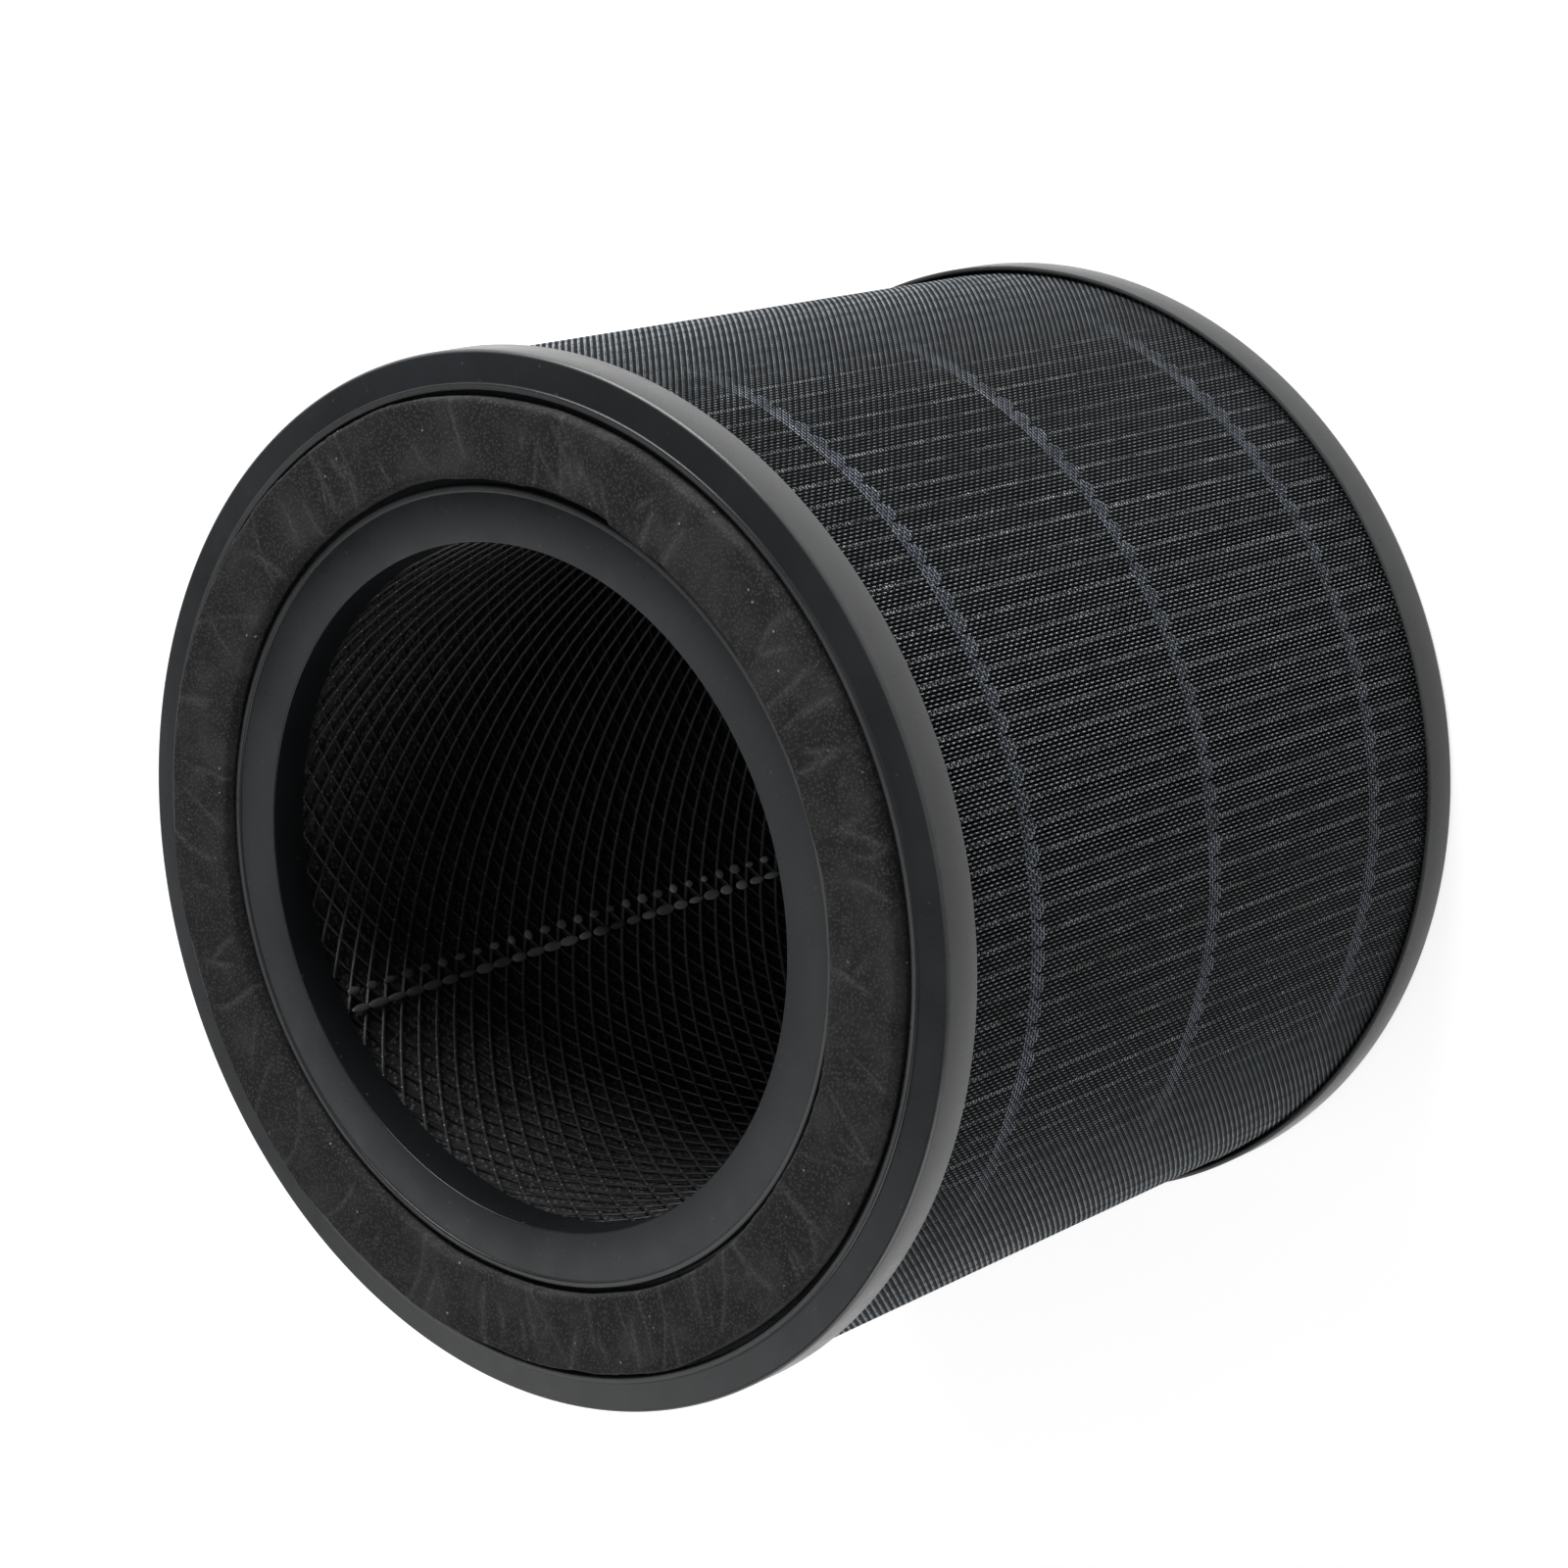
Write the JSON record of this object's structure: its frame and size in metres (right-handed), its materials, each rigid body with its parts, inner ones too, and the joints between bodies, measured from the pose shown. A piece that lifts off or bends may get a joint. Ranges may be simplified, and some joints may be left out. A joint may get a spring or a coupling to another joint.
{
  "type": "air purifier filter",
  "caption": "Round pleated air filter cartridge with moulded end caps, a foam gasket around the open end, an outer net and a mesh-lined bore.",
  "frame": {"origin": "centre of the rear cap's back, on the surface that the filter stands on", "axes": "+Z along the filter's axis, from the closed rear cap to the open front cap with the gasket"},
  "size_m": [0.18, 0.18, 0.1509],
  "materials": {
    "front_cap_plastic": "satin moulded",
    "rear_cap_plastic": "satin moulded",
    "gasket_foam": "open foam",
    "potting": "cast",
    "carbon": "felt",
    "mesh_plastic": "satin",
    "net_fabric": "woven thread",
    "filter_paper": "fibre paper",
    "glue": "hot-melt glue"
  },
  "bodies": {
    "root": {"front_end_cap": "front_cap_plastic", "rear_end_cap": "rear_cap_plastic", "foam_gasket": "gasket_foam", "front_potting": "potting", "rear_potting": "potting", "carbon_sheet": "carbon", "inner_mesh": "mesh_plastic", "outer_net": "net_fabric", "pleated_medium": "filter_paper", "glue_bead_1": "glue", "glue_bead_2": "glue", "glue_bead_3": "glue"}
  },
  "joints": []
}
